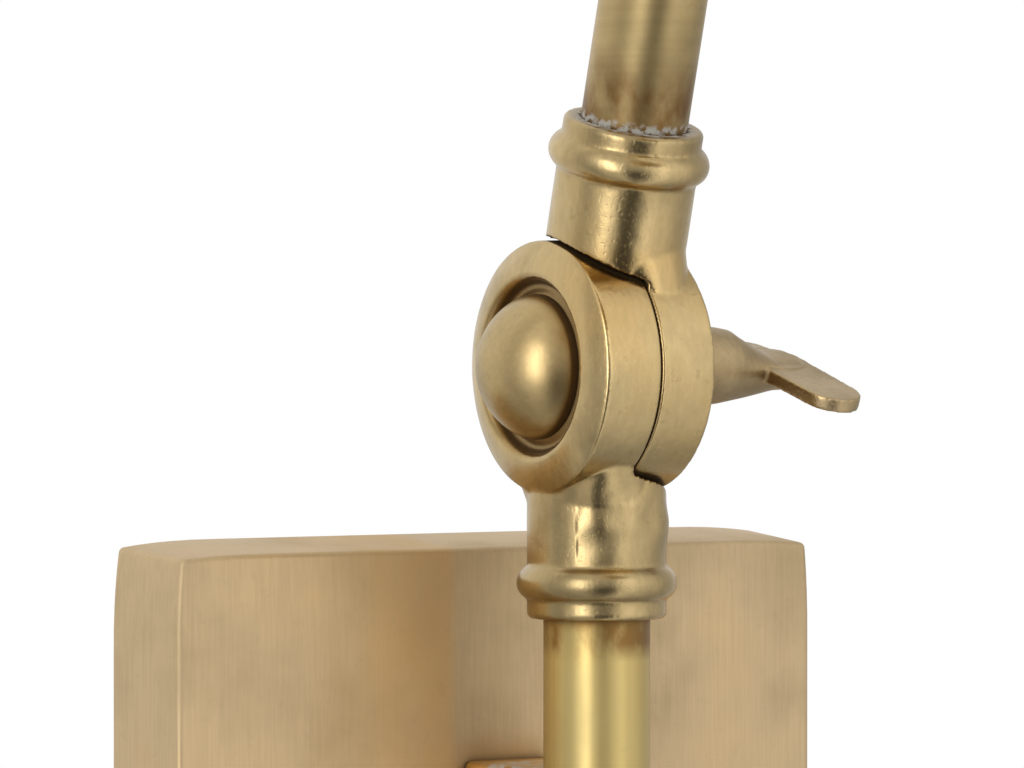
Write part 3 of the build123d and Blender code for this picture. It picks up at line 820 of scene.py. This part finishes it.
class WALLLAMP_OT_lampholder(bpy.types.Operator):
    """Make the cup, the lampholder and the bulb"""
    bl_idname = "wall_lamp.lampholder"
    bl_label = "Lampholder"

    def execute(self, context):
        bead = arc((18.5, 69), 0.7, -90, 90, 8)
        cup = [Vector((9, 54)), Vector((11, 54)), *through((11.4, 54), (16.3, 56.6), (18.5, 62), 10),
               Vector((18.5, 68)), *bead, *rounded([(18.5, 70), (18.5, 72, 0.3), (17.3, 72), (17.3, 62)]),
               *through((17.3, 61.9), (14.9, 57.8), (10.5, 55.4), 8), Vector((9, 55.4))]
        turned_piece("socket_cup_spun", cup, HEAD_FRAME, "head", "spun_brass", "socket_cup")
        holder = rounded([(0, 58), (14.7, 58, 0.5), (14.7, 66), (16.5, 66, 0.4), (16.5, 104, 0.8),
                          (14.2, 104, 0.5), (14.2, 80), (0, 80)])
        turned_piece("lampholder_moulding", holder, HEAD_FRAME, "head", "phenolic", "lampholder_shell",
                     closed=False)
        thread_depth, thread_step, thread_points = 0.45, 0.34, 53
        thread = [Vector((12.0 - thread_depth * math.cos(turn * math.pi / 4), 90 + turn * thread_step))
                  for turn in range(thread_points)]
        base = [Vector((0, 85.4)), Vector((6, 85.4)), Vector((11.2, 88)), *thread,
                Vector((12.3, 109.4)), Vector((0, 109.4))]
        turned_piece("bulb_screw_base", base, HEAD_FRAME, "head", "bulb_cap_metal", "bulb_base",
                     closed=False)
        globe = arc((0, 138), 22.5, -46, 90, 40)
        globe[-1].x = 0
        neck = through((12, 109.6), (12.6, 116), tuple(globe[0]), 10)[:-1]
        glass = [Vector((0, 109.5)), Vector((12, 109.5)), *neck, *globe]
        turned_piece("bulb_globe", glass, HEAD_FRAME, "head", "opal_glass", "bulb_glass", closed=False)
        return {"FINISHED"}


class WALLLAMP_OT_end_cap(bpy.types.Operator):
    """Make the domed foot of the post"""
    bl_idname = "wall_lamp.end_cap"
    bl_label = "Post Foot"

    def execute(self, context):
        low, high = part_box("post_end_cap")
        apex = (PIVOT.z - low.z) / MM
        top = (PIVOT.z - high.z) / MM
        lip = top + 6
        foot_radius, dome = 10.2, 12
        rise = math.degrees(math.asin(foot_radius / dome))
        crown = [Vector((point.y, point.x)) for point in arc((apex - dome, 0), dome, rise, 0, 20)]
        crown[-1].x = 0
        foot = rounded([(0, top), (TUBE_BORE, top, 0.3), (TUBE_BORE, lip), (foot_radius, lip, 0.4),
                        tuple(crown[0])]) + crown[1:]
        turned_piece("post_foot", foot, POST_FRAME, "wall", "cap_brass", "post_end_cap", closed=False)
        return {"FINISHED"}


class WALLLAMP_OT_key(bpy.types.Operator):
    """Make the switch key"""
    bl_idname = "wall_lamp.key"
    bl_label = "Switch Key"

    def execute(self, context):
        bm = cast_copy("switch_key", 0.22 * MM, 0.02 * MM, 3, 12.0)
        finished("switch_key_cast", bm, "key", finishes["key_brass"], ["switch_key"])
        return {"FINISHED"}


class WALLLAMP_OT_stage(bpy.types.Operator):
    """Set up the floor, the light and the camera"""
    bl_idname = "wall_lamp.stage"
    bl_label = "Stage"

    def execute(self, context):
        stage = context.scene.wall_lamp_stage
        low = cad_box[0]
        bm = bmesh.new()
        floor_radius, floor_drop = 1.6, 0.12
        bmesh.ops.create_circle(bm, cap_ends=True, segments=96, radius=floor_radius)
        bmesh.ops.translate(bm, verts=bm.verts, vec=(0, low.y / 2, low.z - floor_drop))
        mesh = bpy.data.meshes.new("floor")
        bm.to_mesh(mesh)
        bm.free()
        floor_finish, nodes, link, shader = node_material("floor_paint")
        link(ramp(nodes, link, noise_at(nodes, link, 3, 2), [(0.3, grey(0.86)), (0.7, grey(0.90))]),
             shader.inputs["Base Color"])
        shader.inputs["Roughness"].default_value = 0.8
        mesh.materials.append(floor_finish)
        floor = bpy.data.objects.new("floor", mesh)
        context.scene.collection.objects.link(floor)
        floor.visible_glossy = False
        self.studio(context.scene)
        camera = bpy.data.objects.new("camera", bpy.data.cameras.new("camera"))
        context.scene.collection.objects.link(camera)
        dip = 0.87
        back = Vector((math.sin(stage.azimuth), -math.cos(stage.azimuth), 0))
        camera.location = PIVOT + back * stage.camera_reach + Vector((0, 0, stage.camera_height))
        camera.rotation_euler = (math.radians(90 - dip), 0, stage.pan)
        camera.data.lens = stage.lens
        camera.data.sensor_width = 36
        camera.data.clip_start = 0.01
        context.scene.camera = camera
        context.scene.view_settings.view_transform = "Standard"
        return {"FINISHED"}

    def studio(self, scene):
        """A white studio: what shines sees soft boxes with dark gaps between them."""
        world = bpy.data.worlds.new("studio")
        world.use_nodes = True
        nodes = world.node_tree.nodes
        link = world.node_tree.links.new
        coords = nodes.new("ShaderNodeTexCoord")
        split = nodes.new("ShaderNodeSeparateXYZ")
        link(coords.outputs["Generated"], split.inputs["Vector"])
        angle = nodes.new("ShaderNodeMath")
        angle.operation = "ARCTAN2"
        link(split.outputs["X"], angle.inputs[0])
        out = nodes.new("ShaderNodeMath")
        out.operation = "MULTIPLY"
        out.inputs[1].default_value = -1
        link(split.outputs["Y"], out.inputs[0])
        link(out.outputs["Value"], angle.inputs[1])
        fraction = nodes.new("ShaderNodeMapRange")
        fraction.inputs["From Min"].default_value = -math.pi
        fraction.inputs["From Max"].default_value = math.pi
        link(angle.outputs["Value"], fraction.inputs["Value"])
        height = nodes.new("ShaderNodeMapRange")
        height.inputs["From Min"].default_value = -1
        link(split.outputs["Z"], height.inputs["Value"])
        around = fraction.outputs["Result"]
        rise = height.outputs["Result"]
        glow, gap, key = (product(nodes, link, ramp(nodes, link, around, wide), ramp(nodes, link, rise, high))
                          for wide, high in ((ROOM, SKY), (GAP_BOX, GAP_HEIGHT), (KEY_BOX, KEY_HEIGHT)))
        glow = mixed(nodes, link, gap, glow, grey(0.0))
        glow = mixed(nodes, link, 1.0, glow, product(nodes, link, key, grey(KEY_STRENGTH)), "ADD")
        path = nodes.new("ShaderNodeLightPath")
        shown = mixed(nodes, link, path.outputs["Is Camera Ray"], glow, grey(1.0))
        link(shown, nodes["Background"].inputs["Color"])
        scene.world = world


def round_the_room(*levels):
    """Ramp stops from (degrees round the room, level); 0 is straight out from the wall and 90 its right."""
    return [((degrees + 180) / 360, grey(level)) for degrees, level in levels]


def upwards(*levels):
    """Ramp stops from (height, level); 0 is straight down, 0.5 level and 1 straight up."""
    return [(height, grey(level)) for height, level in levels]


# The studio's light: ROOM and SKY together are its walls, KEY_ the key light added to them and GAP_ the
# dark between the soft boxes taken from them.
ROOM = round_the_room((-180, 0.9), (-150, 0.88), (-118, 0.82), (-104, 0.52), (-90, 0.56), (-78, 0.9),
                      (0, 1.0), (12, 1.4), (23, 1.4), (31, 1.0), (50, 0.95), (80, 0.55), (108, 0.5),
                      (150, 0.8), (180, 0.9))
SKY = upwards((0.0, 0.7), (0.42, 0.95), (0.6, 1.1), (1.0, 1.1))
KEY_BOX = round_the_room((-180, 0), (-70, 0), (-64, 1), (-52, 1), (-46, 0), (180, 0))
KEY_HEIGHT = upwards((0.0, 0), (0.24, 0), (0.30, 0.08), (0.44, 1), (0.72, 1), (0.80, 0), (1.0, 0))
KEY_STRENGTH = 3.4
GAP_BOX = round_the_room((-180, 0), (-46, 0), (-36, 1), (-10, 1), (3, 0), (180, 0))
GAP_HEIGHT = upwards((0.0, 0.7), (0.2, 0.92), (0.34, 0.92), (0.5, 0.64), (0.7, 0.5), (1.0, 0.2))

OPERATORS = [WALLLAMP_OT_finishes, WALLLAMP_OT_tubes, WALLLAMP_OT_knuckles, WALLLAMP_OT_wing_nuts,
             WALLLAMP_OT_plate, WALLLAMP_OT_bracket, WALLLAMP_OT_caps, WALLLAMP_OT_studs,
             WALLLAMP_OT_shade, WALLLAMP_OT_lampholder, WALLLAMP_OT_end_cap, WALLLAMP_OT_key,
             WALLLAMP_OT_stage]


class WALLLAMP_PT_panel(bpy.types.Panel):
    """Lists the lamp's operators and settings"""
    bl_label = "Wall Lamp"
    bl_space_type = "VIEW_3D"
    bl_region_type = "UI"
    bl_category = "Wall Lamp"

    def draw(self, context):
        for group in ("wall_lamp_shape", "wall_lamp_finish", "wall_lamp_stage"):
            settings = getattr(context.scene, group)
            for name in settings.bl_rna.properties.keys():
                if name not in ("rna_type", "name"):
                    self.layout.prop(settings, name)
        for operator in OPERATORS:
            self.layout.operator(operator.bl_idname)


CLASSES = [WallLampShape, WallLampFinish, WallLampStage, *OPERATORS, WALLLAMP_PT_panel]


def register():
    """Registers the classes and the three groups of settings."""
    for cls in CLASSES:
        bpy.utils.register_class(cls)
    bpy.types.Scene.wall_lamp_shape = bpy.props.PointerProperty(type=WallLampShape)
    bpy.types.Scene.wall_lamp_finish = bpy.props.PointerProperty(type=WallLampFinish)
    bpy.types.Scene.wall_lamp_stage = bpy.props.PointerProperty(type=WallLampStage)


def unregister():
    """Takes back what register did."""
    del bpy.types.Scene.wall_lamp_stage
    del bpy.types.Scene.wall_lamp_finish
    del bpy.types.Scene.wall_lamp_shape
    for cls in reversed(CLASSES):
        bpy.utils.unregister_class(cls)


def main():
    """Makes every piece in order."""
    register()
    for operator in OPERATORS:
        group, name = operator.bl_idname.split(".")
        getattr(getattr(bpy.ops, group), name)()


if __name__ == "__main__":
    main()
